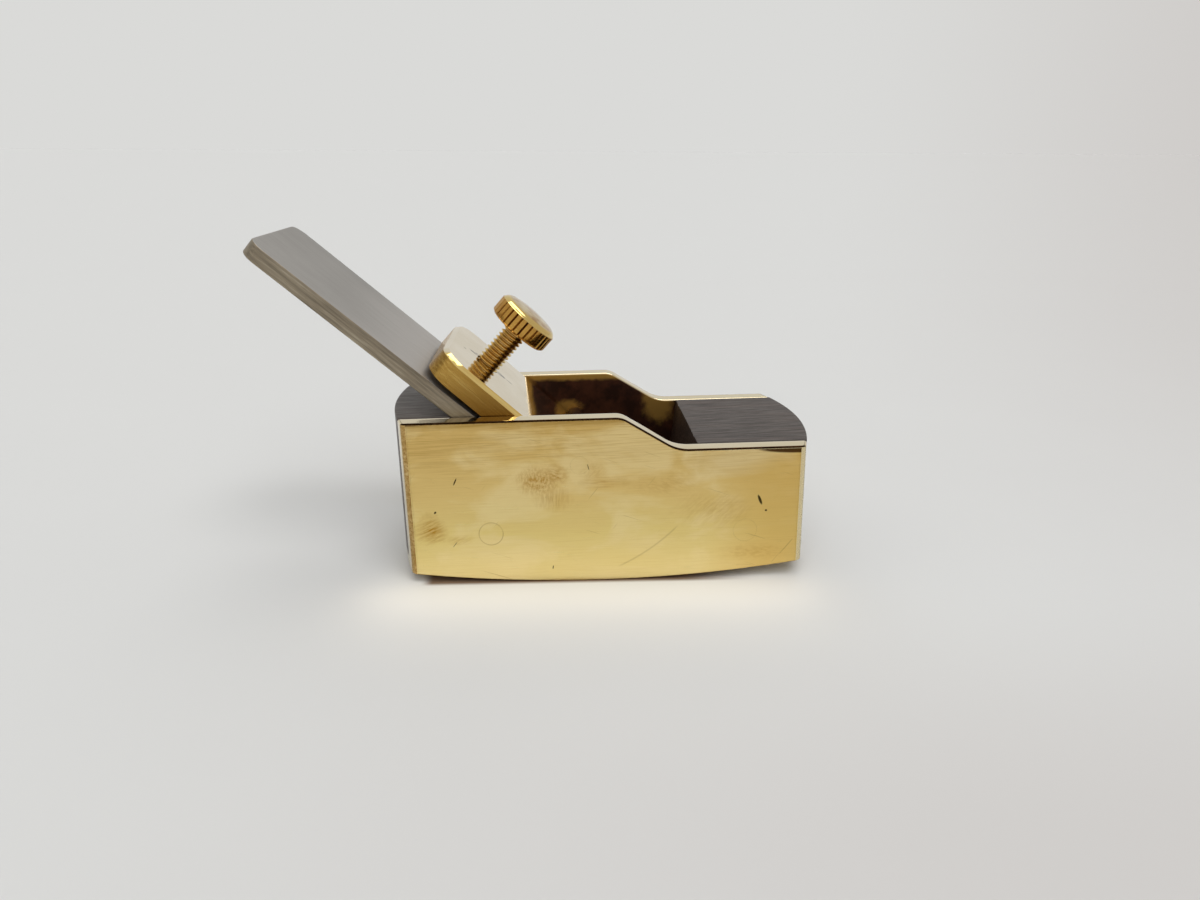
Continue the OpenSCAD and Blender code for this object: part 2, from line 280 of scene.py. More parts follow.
def rim_line(add, off, *stops):
    """A line along a spot's rim: stops say how strong it is, by the distance from the rim."""
    from_rim = add("Math", add("Math", off, 1.0, operation="SUBTRACT"), operation="ABSOLUTE")
    return mask(add, [from_rim, *stops])


# Marks on the near cheek's face, in mm along the body and up: middle, half length, half width and
# slant. They are dark dings, where something hard has struck it.
dings = (
    (-13.8, 17.2, 0.7, 0.12, 1.15),
    (-17.1, 12.3, 0.26, 0.18, 0.9),
    (32.9, 12.7, 1.0, 0.25, -1.2),
    (33.9, 10.9, 0.22, 0.18, 0.0),
    (0.6, 2.5, 0.35, 0.09, 1.4),
    (6.4, 18.9, 0.6, 0.06, -1.3),
    (-14.4, 6.9, 0.6, 0.05, 0.9),
)
# Places that have been rubbed brown: middle, half length and half width, the strokes' slant, how
# short they are, and how strong the brown is.
rubs = (
    (-1.2, 16.9, 4.2, 3.0, -1.5, 1.5, 0.8),
    (1.4, 17.7, 2.8, 2.0, 0.2, 1.0, 0.75),
    (1.0, 14.0, 3.6, 2.4, -1.55, 0.3, 0.5),
    (8.6, 16.3, 5.0, 1.3, 0.02, 0.2, 0.55),
    (7.2, 18.0, 2.6, 1.9, -0.9, 1.0, 0.3),
    (-17.9, 9.4, 2.9, 3.0, -0.42, 0.3, 0.95),
    (26.0, 11.3, 7.5, 3.8, -0.75, 0.4, 0.3),
    (18.0, 15.6, 7.0, 2.4, 0.35, 0.8, 0.28),
    (32.0, 4.0, 7.0, 1.7, 0.1, 0.8, 0.3),
    (-13.5, 7.6, 2.6, 1.0, -0.5, 0.4, 0.3),
)


def old_tarnish(add):
    """The brown-black that brass turns where nothing rubs it."""
    return add("ValToRGB", mottle(add, 0.35, 4, 0.6), stops=[(0.4, "38221A"), (0.65, "583424")])


def filed_brass():
    """Cast brass. Outside it is draw-filed and rubbed along its length, then handled for years: a
    soft gold with fine lengthwise lines, clouds of tarnish, brown rubbed patches, stray scratches
    and small dark dings, and a painted reflection that makes it browner up under the top edge. The
    top edges are polished bright, and the inner faces are dark with old tarnish, with painted light
    on them in gold patches."""
    material, shader, add = new_material("brass_draw_filed")
    plain = in_mm(add)
    face_y, wall_y = -body_half_w / mm, inner_half_w / mm
    along, across, up = (add("SeparateXYZ", plain, out=axis) for axis in "XYZ")
    across = add("Math", across, operation="ABSOLUTE")
    # 1 on the outer faces, 0 on the top edges and inside.
    outside = mask(add, (across, 15.55, 15.9))
    # Clouds of tarnish, patches 5 to 15 mm across, drawn out along the body.
    cloud = mottle(add, (0.08, 0.12, 0.16), 5, 0.55, distortion=0.6)
    # Painted reflection: browner towards the top edge, for the shaded table further out that the
    # face mirrors there, and paler low down, for the bright patch close in. The rise is ragged.
    rise = add("Math", cloud, 9.0, up, operation="MULTIPLY_ADD")
    golds_with_painted_reflection = [(0.2, "EFDB9A"), (0.42, "ECD68C"), (0.62, "E9CC84"), (0.92, "DDBC74")]
    colour = add("ValToRGB", add("Math", rise, 32.0, operation="DIVIDE"), stops=golds_with_painted_reflection)
    colour = tint(add, colour, "F6E2A8", [cloud, (0.38, 0.55), (0.53, 0.0)])
    # The toe end is more golden: less of it has been rubbed bright.
    colour = tint(add, colour, "DDB865", (along, 22.0, 36.0), 0.7)
    # Paler where a hand rests, up at the toe.
    hand = near(add, plain, (29.0, face_y, 19.5), (9.0, 3.4), 0.1, rim=cloud, ragged=1.2)
    colour = tint(add, colour, "EFDCA8", [hand, (0.4, 0.6), (1.0, 0.0)])
    # Rubbing lines 0.1 to 0.3 mm apart, several millimetres long, drawn a little coarser than real.
    # They are browner high up.
    rub = mottle(add, (0.12, 1, 5.5), 5, 0.65)
    coarse_rub = mottle(add, (0.05, 1, 2.3), 5, 0.7, (0, -0.05, 0), 0.5)
    high_up = mask(add, (rise, 20.0, 29.0))
    for pattern, low, high, more_above, all_over, tone in (
        (coarse_rub, 0.47, 0.62, 0.28, 0.03, "B08640"),
        (rub, 0.5, 0.64, 0.36, 0.1, "B88E42"),
    ):
        strength = add("Math", high_up, more_above, all_over, operation="MULTIPLY_ADD")
        colour = tint(add, colour, tone, [pattern, (low, 0.0), (high, 1.0)], strength)
    # Painted reflection: a brown band, 1 mm high, under the level top edge, where the face rolls
    # into the arris, and dark wedges in the two upper corners, where it rolls over.
    colour = tint(add, colour, "9E7A38", (up, 25.1, 26.3), 0.6)
    for x, z, half_len, half_w in ((38.9, 21.5, 8.0, 1.4), (-21.0, 27.1, 9.0, 1.05)):
        rolled_corner_shade = near(add, plain, (x, face_y, z), (half_len, half_w))
        colour = tint(add, colour, "3E2208", [rolled_corner_shade, (0.86, 0.95), (1.0, 0.0)])
    # Rubbed brown patches with ragged rims, each made of short strokes 0.3 mm apart.
    ragged_rim = mottle(add, 0.45, 4, 0.65)
    patches = []
    for x, z, half_len, half_w, slant, short, brown in rubs:
        strokes = mottle(add, (short, 1, 2.9), 4, 0.65, (0, slant, 0))
        off = near(add, plain, (x, face_y, z), (half_len, half_w), rim=ragged_rim, ragged=0.9)
        strokes = [strokes, (0.42, 0.3), (0.57, 1.0)]
        patches.append(mask(add, [off, (0.1, brown), (0.95, 0.0)], strokes))
    worn = most(add, patches)
    colour = tint(add, colour, "B4801A", worn)
    # Tarnish in the hairline joint round each rivet and round the cap's pin.
    joint_breaks = mask(add, [mottle(add, 0.5, 2), (0.4, 0.45), (0.6, 1.0)])
    for node_name, end_r, brown in (
        ("rear_infill_pin", 1.85, 0.45),
        ("front_infill_pin", 1.85, 0.14),
        ("cap_pin", 1.4, 0.14),
    ):
        rod_low, rod_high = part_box(node_name)
        rod = (rod_low + rod_high) / (2 * mm)
        off = near(add, plain, (rod.x, face_y, rod.z), (end_r, end_r))
        ring = rim_line(add, off, (0.01, brown), (0.06, 0.0))
        colour = tint(add, colour, "8A6018", ring, joint_breaks)
    # Stray scratches at two slants, and one long arc low down towards the toe.
    scratches = []
    for turn, stretch, cut in ((0.35, (0.08, 1, 3.2), 0.70), (-0.9, (0.10, 1, 2.6), 0.72)):
        thin = mottle(add, stretch, 2, 0.5, (0, turn, 0))
        scratches.append(mask(add, [thin, (cut, 0.0), (cut + 0.02, 0.8)]))
    sweep = near(add, plain, (-1.5, face_y, 29.6), (30.0, 30.0))
    arc = rim_line(add, sweep, (0.002, 0.8), (0.005, 0.0))
    arc_part = near(add, plain, (15.8, face_y, 5.2), (6.4, 6.0))
    scratches.append(mask(add, arc, [arc_part, (0.75, 1.0), (0.95, 0.0)]))
    scratches = most(add, scratches)
    colour = tint(add, colour, "8F6C30", scratches, 0.4)
    # Dings: the ones that show in front, and rarer tiny ones all over.
    cells = add("TexVoronoi", plain, Scale=0.16, out="Distance")
    marks = [mask(add, [cells, (0.010, 0.7), (0.02, 0.0)])]
    for x, z, half_len, half_w, turn in dings:
        off = near(add, plain, (x, face_y, z), (half_len, half_w), turn)
        marks.append(mask(add, [off, (0.7, 1.0), (1.0, 0.0)]))
    ding = most(add, marks)
    colour = tint(add, colour, "1E1408", ding, 0.92)
    # Inside: brown-black where nothing rubs, and painted light in gold along the top edge, behind
    # the cap's end and in two more patches, where light falls in through the throat.
    ragged_top = add("Math", mottle(add, 0.8, 4, 0.6), 0.9, up, operation="MULTIPLY_ADD")
    inner_lit_patches = [mask(add, (ragged_top, 25.5, 26.3))]
    wobble = mottle(add, 0.9, 4, 0.7)
    for x, z, half_len, half_w, turn in (
        (-3.9, 21.5, 2.1, 7.5, -0.1),
        (3.8, 20.4, 2.9, 1.5, 0.0),
        (20.3, 20.9, 3.2, 4.2, 0.2),
    ):
        off = near(add, plain, (x, wall_y, z), (half_len, half_w), turn, 1.5, wobble, 0.9)
        inner_lit_patches.append(mask(add, (off, 1.15, 0.5), 0.75))
    inner_lit_patches = most(add, inner_lit_patches)
    inner = tint(add, old_tarnish(add), "B08840", inner_lit_patches)
    edge = add("ValToRGB", cloud, stops=[(0.3, "DFCFA8"), (0.7, "EADCBA")])
    edging = mask(add, (across, 13.0, 13.12))
    colour = tint(add, tint(add, inner, edge, edging), colour, outside)
    # Tarnish is a dull film over the metal, so the inner faces are less metallic than the rest.
    metallic = add("ValToRGB", edging, stops=[(0.0, 0.72), (1.0, 1.0)])
    rough = add("Math", rub, 0.16, 0.22, operation="MULTIPLY_ADD")
    rough = add("Math", worn, 0.12, rough, operation="MULTIPLY_ADD")
    polish = add("ValToRGB", coarse_rub, stops=[(0.3, 0.06), (0.7, 0.11)])
    inner_rough = add("ValToRGB", inner_lit_patches, stops=[(0.0, 0.32), (1.0, 0.5)])
    rough = tint(add, tint(add, inner_rough, polish, edging), rough, outside)
    # The rubbing lines, the scratches and the dings are cut in.
    height = 0.0
    for pattern, depth in ((rub, 0.5), (coarse_rub, 0.5), (scratches, -0.7), (ding, -1.5)):
        height = add("Math", pattern, depth, height, operation="MULTIPLY_ADD")
    height = mask(add, height, (across, 15.2, 15.9))
    bump = add("Bump", Strength=0.25, Distance=0.02 * mm, Height=height)
    feed(shader, Base_Color=colour, Metallic=metallic, Roughness=rough, Normal=bump)
    return material


def place(add, axis):
    """How far a point lies along X, Y or Z, in mm."""
    return add("SeparateXYZ", in_mm(add), out=axis)


def facing(add, way):
    """How squarely a face looks a given way: 1 is straight that way, 0 side on and -1 away."""
    return add("VectorMath", add("NewGeometry", out="Normal"), way, operation="DOT_PRODUCT")


def filed_arris():
    """The same brass where its arrises were broken with a file and never polished: a browner gold,
    streaked along the edge."""
    material, shader, add = new_material("brass_filed_arris")
    streak = mottle(add, 1.6, 4, 0.7)
    colour = add("ValToRGB", streak, stops=[(0.35, "A28246"), (0.55, "BE9C62"), (0.72, "D8BE86")])
    # The toe end's is rubbed pale. The ones along the sole are a darker brown.
    upwards = facing(add, (0, 0, 1))
    colour = tint(add, colour, "E2D2A6", (place(add, "X"), 20.0, 30.0))
    colour = tint(add, colour, "8A5818", (upwards, -0.1, -0.25))
    # Painted reflection: along the top it is a thin dark line, for the dark room in front and above
    # that the arris mirrors.
    dark_reflection = add("ValToRGB", streak, stops=[(0.4, "1C0E02"), (0.7, "3A220A")])
    colour = tint(add, colour, dark_reflection, (upwards, 0.1, 0.25))
    rough = add("ValToRGB", streak, stops=[(0.3, 0.2), (0.7, 0.34)])
    bump = add("Bump", Strength=0.3, Distance=0.02 * mm, Height=streak)
    feed(shader, Base_Color=colour, Metallic=1.0, Roughness=rough, Normal=bump)
    return material


def arris_share(place):
    """The upper arrises of a cheek are broken most, its lower outer one less, and the ones along
    the solder joint hardly at all."""
    if place.z < sole_z(place.x - body_mid_x) + 0.1 * mm:
        return 0.3 if abs(place.y) > body_half_w - 0.1 * mm else 0.15
    return 0.7


cheek_brass = filed_brass()
arris_brass = filed_arris()
cheeks = []
for side, name in ((1, "side_plate_left"), (-1, "side_plate_right")):
    across = sorted(side * (body_half_w - inwards * mm) for inwards in (0, 0.5, 1.2, 2.1, 3))
    cheek = body_block("cheek_" + name[11:], across, sole_z, top_z, 220)
    break_edges(cheek, broken_w, share=arris_share)
    cheeks.append(cheek)
    cheek.data.materials.append(cheek_brass)
    cheek.data.materials.append(arris_brass)
    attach(cheek, "body")
    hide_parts(name)


# Sole: two brass plates soldered between the cheeks, curved underneath along their length. The
# gap between them is the mouth. The heel plate's front edge is filed to the slope of the bed.
sole_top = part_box("sole_heel")[1].z
mouth_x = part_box("sole_toe")[0].x
bed_angle = math.radians(41.7)
cap_angle = math.radians(43.0)
blade_low, blade_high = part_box("blade")
blade_t = 2.4 * mm
blade_half_w = blade_high.y
edge = Vector((blade_high.x, 0, blade_low.z))
up_blade = Vector((-math.cos(bed_angle), 0, math.sin(bed_angle)))
over_blade = Vector((math.sin(bed_angle), 0, math.cos(bed_angle)))
bed_gap = 0.03 * mm
bed_point = edge - over_blade * (blade_t + bed_gap)
throat_lean = math.radians(7.2)
throat_x, throat_foot_h = 14.3 * mm, 1.26 * mm
throat_top = Vector((body_mid_x + throat_x, 0, toe_h))
throat_normal = Vector((-math.cos(throat_lean), 0, math.sin(throat_lean)))


def cut_away(piece, point, normal):
    """Saws the piece through a plane and drops the side that the normal points to."""
    take_up(piece)
    set_mode("EDIT")
    bpy.ops.mesh.select_all(action="SELECT")
    bpy.ops.mesh.bisect(plane_co=point, plane_no=normal, use_fill=True, clear_outer=True)
    set_mode("OBJECT")


def from_middle(add):
    """How far a point lies from the body's middle, towards either end, in mm."""
    off = add("Math", place(add, "X"), body_mid_x / mm, operation="SUBTRACT")
    return add("Math", off, operation="ABSOLUTE")


def rubbed_sole():
    """The sole's brass: rubbed bright and scratched along its length by the wood it has slid on,
    polished with the cheeks at its ends, and brown with old tarnish inside the throat."""
    material, shader, add = new_material("brass_rubbed_sole")
    scratched = mottle(add, (0.06, 3.0, 3.0), 5, 0.7)
    under = add("ValToRGB", scratched, stops=[(0.35, "C2A058"), (0.5, "DCBE7C"), (0.68, "ECD49A")])
    upwards = facing(add, (0, 0, 1))
    upright = mask(add, (add("Math", upwards, operation="ABSOLUTE"), 0.7, 0.5))
    colour = tint(add, under, "E8DCBC", upright)
    # Inside: whatever doesn't face down and isn't at the body's two ends.
    walls = mask(add, (from_middle(add), 28.0, 26.0), (upwards, -0.6, -0.3))
    inside = most(add, [walls, mask(add, (upwards, 0.5, 0.8))])
    colour = tint(add, colour, old_tarnish(add), inside)
    rough = add("ValToRGB", scratched, stops=[(0.3, 0.2), (0.7, 0.34)])
    rough = tint(add, tint(add, rough, 0.09, upright), 0.4, inside)
    bump = add("Bump", Strength=0.2, Distance=0.015 * mm, Height=scratched)
    feed(shader, Base_Color=colour, Metallic=1.0, Roughness=rough, Normal=bump)
    return material


sole_brass = rubbed_sole()
plate_rows = evenly(-inner_half_w, inner_half_w, 24)
sole_heel = body_block("sole_behind_mouth", plate_rows, sole_z, lambda x: sole_top, 120)
cut_away(sole_heel, bed_point, over_blade)
cut_away(sole_heel, (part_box("sole_heel")[1].x, 0, 0), (1, 0, 0))
sole_toe = body_block("sole_ahead_of_mouth", plate_rows, sole_z, lambda x: sole_top, 120)
cut_away(sole_toe, (mouth_x, 0, 0), (-1, 0, 0))
cut_away(sole_toe, (mouth_x, 0, throat_foot_h), throat_normal)
for piece, name in ((sole_heel, "sole_heel"), (sole_toe, "sole_toe")):
    break_edges(piece, 0.06 * mm, 2)
    smooth_faces(piece)
    piece.data.materials.append(sole_brass)
    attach(piece, "body")
    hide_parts(name)


# Infill: two blocks of ebony fitted tight between the cheeks and finished flush with them. The
# rear one is the bed of the blade; the front one's back face is the front wall of the throat.
def oiled_ebony():
    """Ebony, planed and oiled: brown-black, with fine long pores along the plane and a soft sheen
    that greys it where the sky is seen in it."""
    material, shader, add = new_material("ebony_oiled")
    # Pores 0.05 to 0.1 mm wide and several millimetres long, drawn about three times as wide as
    # real, and running a few degrees off the plane's length as the block was sawn.
    grain = mottle(add, (0.16, 2.6, 2.6), 6, 0.72, (0, 0, 0.07))
    streak = mottle(add, (0.05, 0.7, 0.7), 4, 0.6, distortion=0.4)
    wood = add("ValToRGB", streak, stops=[(0.35, "1C1410"), (0.55, "2A1E18"), (0.75, "3A2A22")])
    wood = tint(add, wood, "0A0706", [grain, (0.34, 1.0), (0.47, 0.0)], 0.8)
    wood = tint(add, wood, "5C483C", [grain, (0.52, 0.0), (0.7, 1.0)], 0.32)
    # Painted light: the heel is greyed, which lifts it where the blade shades it.
    wood = tint(add, wood, "6E6660", (place(add, "X"), -8.0, -20.0), 0.35)
    rough = add("ValToRGB", grain, stops=[(0.34, 0.62), (0.6, 0.34)])
    bump = add("Bump", Strength=0.5, Distance=0.04 * mm, Height=grain)
    feed(shader, Base_Color=wood, Roughness=rough, Normal=bump)
    feed(shader, Specular_IOR_Level=0.56, Specular_Tint="F6E9DF")
    return material


ebony = oiled_ebony()
block_rows = evenly(-inner_half_w, inner_half_w, 40)
rear_infill = body_block("rear_infill_block", block_rows, lambda x: sole_top, lambda x: heel_h, 100)
cut_away(rear_infill, bed_point, over_blade)
front_infill = body_block(
    "front_infill_block", block_rows, lambda x: sole_top, lambda x: toe_h, 100
)
cut_away(front_infill, throat_top, throat_normal)
for piece, name in ((rear_infill, "rear_infill"), (front_infill, "front_infill")):
    break_edges(piece, 0.08 * mm, 2)
    piece.data.materials.append(ebony)
    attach(piece, "body")
    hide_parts(name)


# Rivets and cap pin: brass rod driven through holes drilled across the whole body. The rivets'
# ends are hammered out into countersinks and filed flush, so that only a fine ring shows.
across_body = (math.pi / 2, 0, 0)
peened_h = 0.6 * mm
hole_gap = 0.004 * mm
drill_beyond = 0.3 * mm


def cross_rod(name, node_name, rod_d, end_d, end_h, beyond=0.0):
    """A rod across the body, its two ends swelled to end_d over the last end_h. A drill for it runs
    on beyond the body's faces with the same flare."""
    low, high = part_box(node_name)
    centre = (low + high) / 2
    low_y, high_y = low.y - beyond, high.y + beyond
    stock = {"radius": rod_d / 2, "depth": high_y - low_y, "location": centre}
    cylinder = bpy.ops.mesh.primitive_cylinder_add
    rod = start_piece(name, cylinder, vertices=72, rotation=across_body, **stock)
    bpy.ops.object.transform_apply(location=True, rotation=True, scale=True)
    set_mode("EDIT")
    for y in (low.y + end_h, high.y - end_h):
        bpy.ops.mesh.select_all(action="SELECT")
        bpy.ops.mesh.bisect(plane_co=(0, y, 0), plane_no=(0, 1, 0))
    for y in (low_y, high_y):
        bpy.ops.mesh.select_all(action="DESELECT")
        mesh = bmesh.from_edit_mesh(rod.data)
        for face in mesh.faces:
            if len(face.verts) > 4 and abs(face.calc_center_median().y - y) < 1e-6:
                face.select_set(True)
        bmesh.update_edit_mesh(rod.data)
        swell = 1 + (end_d / rod_d - 1) * (end_h + beyond) / end_h
        bpy.ops.transform.resize(value=(swell, 1, swell), center_override=(centre.x, y, centre.z))
    set_mode("OBJECT")
    return rod


def cut_with(piece, cutter):
    """Cuts the cutter's shape out of the piece."""
    take_up(piece)
    hole = piece.modifiers.new("hole", "BOOLEAN")
    hole.operation = "DIFFERENCE"
    hole.solver = "EXACT"
    hole.object = cutter
    bpy.ops.object.modifier_apply(modifier="hole")


for name, node_name, rod_d, end_d in (
    ("rear_rivet", "rear_infill_pin", 3.2 * mm, 3.7 * mm),
    ("front_rivet", "front_infill_pin", 3.2 * mm, 3.7 * mm),
    ("lever_cap_pin", "cap_pin", 2.8 * mm, 2.8 * mm),
):
    hole_ds = rod_d + hole_gap, end_d + hole_gap
    drill = cross_rod("drill", node_name, *hole_ds, peened_h, drill_beyond)
    for piece in cheeks + ([] if name == "lever_cap_pin" else [rear_infill, front_infill]):
        cut_with(piece, drill)
    bpy.data.objects.remove(drill)
    rod = cross_rod(name, node_name, rod_d, end_d, peened_h)
    smooth_faces(rod)
    rod.data.materials.append(cheek_brass)
    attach(rod, "body")
    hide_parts(node_name)
for piece in cheeks + [rear_infill, front_infill]:
    smooth_faces(piece)
for cheek in cheeks:
    for face in cheek.data.polygons:
        outwards = face.normal.y * math.copysign(1, face.center.y)
        if abs(face.center.y) > body_half_w - 0.55 * mm and 0.12 < outwards < 0.985:
            face.material_index = 1


# Blade: a flat length of tool steel with its upper corners rounded, ground satin on its face and
# left brown on its edges. The cutting edge is a single bevel underneath.
def ground_steel():
    """Old carbon steel, surface-ground and then rubbed: a mid grey satin face with the finest of
    lengthwise lines. Its edges were never polished and are brown, streaked by the grinder."""
    material, shader, add = new_material("carbon_steel_ground")
    # Grinding lines about 0.1 mm apart across the blade, drawn a little coarser than real.
    lines = mottle(add, (0.10, 3.0, 3.0), 5, 0.6, (0, bed_angle, 0))
    streaks = mottle(add, (0.10, 1.2, 2.2), 6, 0.7, (0, bed_angle, 0))
    face = add("ValToRGB", mottle(add, 0.05), stops=[(0.35, "94908B"), (0.65, "A29E99")])
    # It is rubbed brighter where it comes out from under the lever cap.
    face = tint(add, face, "C6C1BC", (place(add, "Z"), 46.0, 34.0), 0.6)
    face = tint(add, face, "87817B", [lines, (0.35, 0.0), (0.75, 0.22)])
    face = tint(add, face, "6E6862", [mottle(add, 2.2, 2), (0.74, 0.0), (0.78, 0.5)])
    side = add("ValToRGB", streaks, stops=[(0.3, "6C6356"), (0.52, "928673"), (0.72, "B4AA96")])
    # The upper end was ground across, and is more even.
    side = tint(add, side, "8E8472", (facing(add, up_blade), 0.5, 0.8), 0.65)
    squarely = add("Math", facing(add, over_blade), operation="ABSOLUTE")
    colour = tint(add, side, face, (squarely, 0.75, 0.97))
    rough = add("ValToRGB", lines, stops=[(0.3, 0.38), (0.7, 0.46)])
    bump = add("Bump", Strength=0.25, Distance=0.015 * mm, Height=streaks)
    feed(shader, Base_Color=colour, Metallic=0.9, Roughness=rough, Normal=bump)
    return material


blade_len = 80.0 * mm
blade_corner_r = 2.5 * mm
sharpening = math.radians(30)


def stand_in_place(piece, origin, angle):
    """Turns a piece drawn in its own axes about Y, moves it to its place, and applies both."""
    piece.data.transform(Matrix.Translation(origin) @ Matrix.Rotation(angle, 4, "Y"))
    piece.data.update()


def select_edges(piece, test):
    """In edit mode, selects only the edges whose two ends pass the test."""
    bpy.ops.mesh.select_all(action="DESELECT")
    mesh = bmesh.from_edit_mesh(piece.data)
    for e in mesh.edges:
        if test(e.verts[0].co, e.verts[1].co):
            e.select_set(True)
    bmesh.update_edit_mesh(piece.data)


blade = start_piece("blade_iron", bpy.ops.mesh.primitive_cube_add, size=1, location=(0, 0, 0))
set_mode("EDIT")
bpy.ops.transform.resize(value=(blade_len, 2 * blade_half_w, blade_t))
bpy.ops.transform.translate(value=(-blade_len / 2, 0, -blade_t / 2))
select_edges(blade, lambda a, b: max(a.x, b.x) < -blade_len / 2 and abs(a.z - b.z) > blade_t / 2)
bpy.ops.mesh.bevel(offset=blade_corner_r, segments=14, affect="EDGES")
set_mode("OBJECT")
cut_away(blade, (0, 0, 0), (math.sin(sharpening), 0, -math.cos(sharpening)))
break_edges(blade, 0.16 * mm, 3)
smooth_faces(blade)
stand_in_place(blade, edge, bed_angle)
blade.data.materials.append(ground_steel())
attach(blade, "blade")
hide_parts("blade")


# Lever cap: a thick brass bar, polished bright, with its upper corners rounded and its top
# edges bevelled. A groove across it takes the cross pin, and a tapped hole takes the screw.
def polished_brass():
    """Pale brass. Its top is polished to a mirror, with faint wiping marks and a few dark nicks
    above and below the screw. Its bevel is a light gold, and its sides are only filed and have
    gone a brown gold, streaked lengthwise."""
    material, shader, add = new_material("brass_polished")
    outwards, upwards = facing(add, out_of_cap), facing(add, -down_cap)
    leftwards = facing(add, (0, 1, 0))
    sideways = add("Math", leftwards, operation="ABSOLUTE")
    # Only the long bevels are gold: the one across the upper end is polished with the top. The
    # edge across the lower end is dark.
    end_bevel = mask(add, (outwards, 0.5, 0.65), (sideways, 0.42, 0.25), (upwards, 0.1, 0.3))
    top = most(add, [mask(add, (outwards, 0.85, 0.97)), end_bevel])
    bevel = mask(add, (outwards, 0.3, 0.55))
    bright = add("ValToRGB", mottle(add, 0.16), stops=[(0.35, "E4D6BA"), (0.65, "ECE0C8")])
    # Nicks about 1 mm long in line with the cap, and a grey smear, beside the screw.
    torn, plain = [mottle(add, 3.5, 3, 0.6), (0.38, 0.3), (0.5, 1.0)], in_mm(add)
    for spot, half_len, half_w, dark in scuffs:
        off = near(add, plain, spot, (half_len, 0.5), -cap_angle, half_w)
        bright = tint(add, bright, "2A2318", [off, (0.5, dark), (1.0, 0.0)], torn)
    streaks = mottle(add, (0.12, 1.0, 3.0), 5, 0.65, (0, cap_angle, 0))
    brown = add("ValToRGB", streaks, stops=[(0.3, "A67E38"), (0.55, "C09A50"), (0.75, "D4B26A")])
    # The sides are browner towards the throat.
    brown = tint(add, brown, "6A4412", (place(add, "Z"), 35.0, 26.5), 0.75)
    # Painted shade: the left bevel is brown, which keeps the overhead card's glint off it.
    gold = add("ValToRGB", streaks, stops=[(0.3, "E0BE6E"), (0.7, "F2D88E")])
    gold = tint(add, gold, "94723A", (leftwards, 0.3, 0.6))
    gold = tint(add, gold, "4A3010", (upwards, -0.15, -0.35))
    colour = tint(add, tint(add, brown, gold, bevel), bright, top)
    wipe = mottle(add, (0.3, 3.0, 0.5), 4, 0.6, (0, cap_angle, 0))
    filed = add("ValToRGB", streaks, stops=[(0.3, 0.2), (0.7, 0.3)])
    polish = add("ValToRGB", wipe, stops=[(0.35, 0.05), (0.75, 0.11)])
    rough = tint(add, tint(add, filed, 0.1, bevel), polish, top)
    bump = add("Bump", Strength=0.12, Distance=0.01 * mm, Height=wipe)
    feed(shader, Base_Color=colour, Metallic=1.0, Roughness=rough, Normal=bump)
    return material


pin_low, pin_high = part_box("cap_pin")
pin_axis = (pin_low + pin_high) / 2
cap_t = 4.1 * mm
cap_top = -0.62 * mm
cap_half_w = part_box("lever_cap")[1].y
cap_up_len = 26.3 * mm
cap_corner_r = 4.2 * mm
cap_bevel = 0.64 * mm
cap_nose_x, cap_nose_r = 13.3 * mm, 0.8 * mm
pin_groove_r, screw_hole_r = 1.45 * mm, 2.05 * mm
screw_x = -18.9 * mm
cap_len = cap_up_len + cap_nose_x + cap_nose_r
down_cap = Vector((math.cos(cap_angle), 0, -math.sin(cap_angle)))
out_of_cap = Vector((math.sin(cap_angle), 0, math.cos(cap_angle)))
cap_face = pin_axis + out_of_cap * cap_top
# The nicks on the cap's top, in mm: how far down the cap and to the left of its middle they are,
# half length, half width and darkness. Each one's place is turned to the body's own axes.
scuffs = [
    (cap_face / mm + down_cap * u + Vector((0, v, 0)), half_len, half_w, dark)
    for u, v, half_len, half_w, dark in (
        (-21.8, 0.1, 1.1, 0.4, 1.0),
        (-21.2, 0.9, 0.5, 0.3, 0.9),
        (-23.4, -1.6, 0.3, 0.3, 0.8),
        (-16.3, 0.2, 0.9, 1.1, 0.5),
        (-15.6, 0.2, 0.7, 0.5, 1.0),
        (-14.3, 0.2, 0.8, 0.26, 0.8),
    )
]

cap = start_piece("lever_cap_bar", bpy.ops.mesh.primitive_cube_add, size=1, location=(0, 0, 0))
set_mode("EDIT")
bpy.ops.transform.resize(value=(cap_len, 2 * cap_half_w, cap_t))
bpy.ops.transform.translate(value=(cap_len / 2 - cap_up_len, 0, cap_top - cap_t / 2))
select_edges(cap, lambda a, b: max(a.x, b.x) < -cap_len / 3 and abs(a.z - b.z) > cap_t / 2)
bpy.ops.mesh.bevel(offset=cap_corner_r, segments=16, affect="EDGES")
select_edges(cap, lambda a, b: min(a.x, b.x) > cap_nose_x and max(a.z, b.z) < cap_top - cap_t / 2)
bpy.ops.mesh.bevel(offset=cap_nose_r, segments=8, affect="EDGES")
top_edge = cap_top - 1e-7
select_edges(cap, lambda a, b: min(a.z, b.z) > top_edge and min(a.x, b.x) < cap_nose_x)
bpy.ops.mesh.bevel(offset=cap_bevel, segments=1, affect="EDGES")
set_mode("OBJECT")
nose_slope = math.radians(35)
nose_normal = Vector((math.sin(nose_slope), 0, math.cos(nose_slope)))
nose_centre = Vector((cap_nose_x, 0, cap_top - cap_t + cap_nose_r))
cut_away(cap, nose_centre + nose_normal * cap_nose_r, nose_normal)
for bit_r, centre, turn in (
    (pin_groove_r, (0, 0, 0), across_body),
    (screw_hole_r, (screw_x, 0, 0), (0, 0, 0)),
):
    size = {"vertices": 96, "radius": bit_r, "depth": 60 * mm}
    cylinder = bpy.ops.mesh.primitive_cylinder_add
    bit = start_piece("bit", cylinder, location=centre, rotation=turn, **size)
    cut_with(cap, bit)
    bpy.data.objects.remove(bit)
break_edges(cap, 0.07 * mm, 2, 40)
smooth_faces(cap)
stand_in_place(cap, pin_axis, cap_angle)
cap.data.materials.append(polished_brass())
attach(cap, "lever_cap")
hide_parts("lever_cap")


